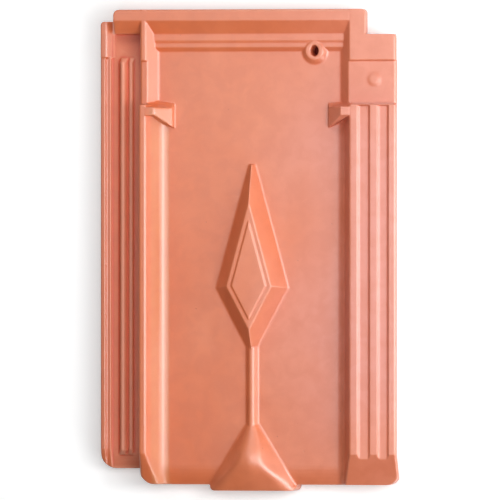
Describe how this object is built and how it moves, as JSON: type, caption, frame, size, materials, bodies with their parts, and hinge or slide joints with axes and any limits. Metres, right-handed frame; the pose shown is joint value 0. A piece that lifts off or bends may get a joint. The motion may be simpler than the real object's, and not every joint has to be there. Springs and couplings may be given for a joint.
{
  "type": "clay roof tile",
  "caption": "Interlocking clay roof tile with a raised diamond, a centre rib and a hollow tail nose, a side-lap strip, a fluted flange and batten nibs.",
  "frame": {"origin": "centre of the plan on the level plane that the batten nibs and the tail lip rest on", "axes": "+X across the roof from the underlap strip to the flange, +Y up the slope to the head, +Z off the weather face"},
  "size_m": [0.27, 0.42, 0.039],
  "materials": {
    "fired_clay": "unglazed, satin"
  },
  "bodies": {
    "root": {"clay_tile": "fired_clay"}
  },
  "joints": []
}
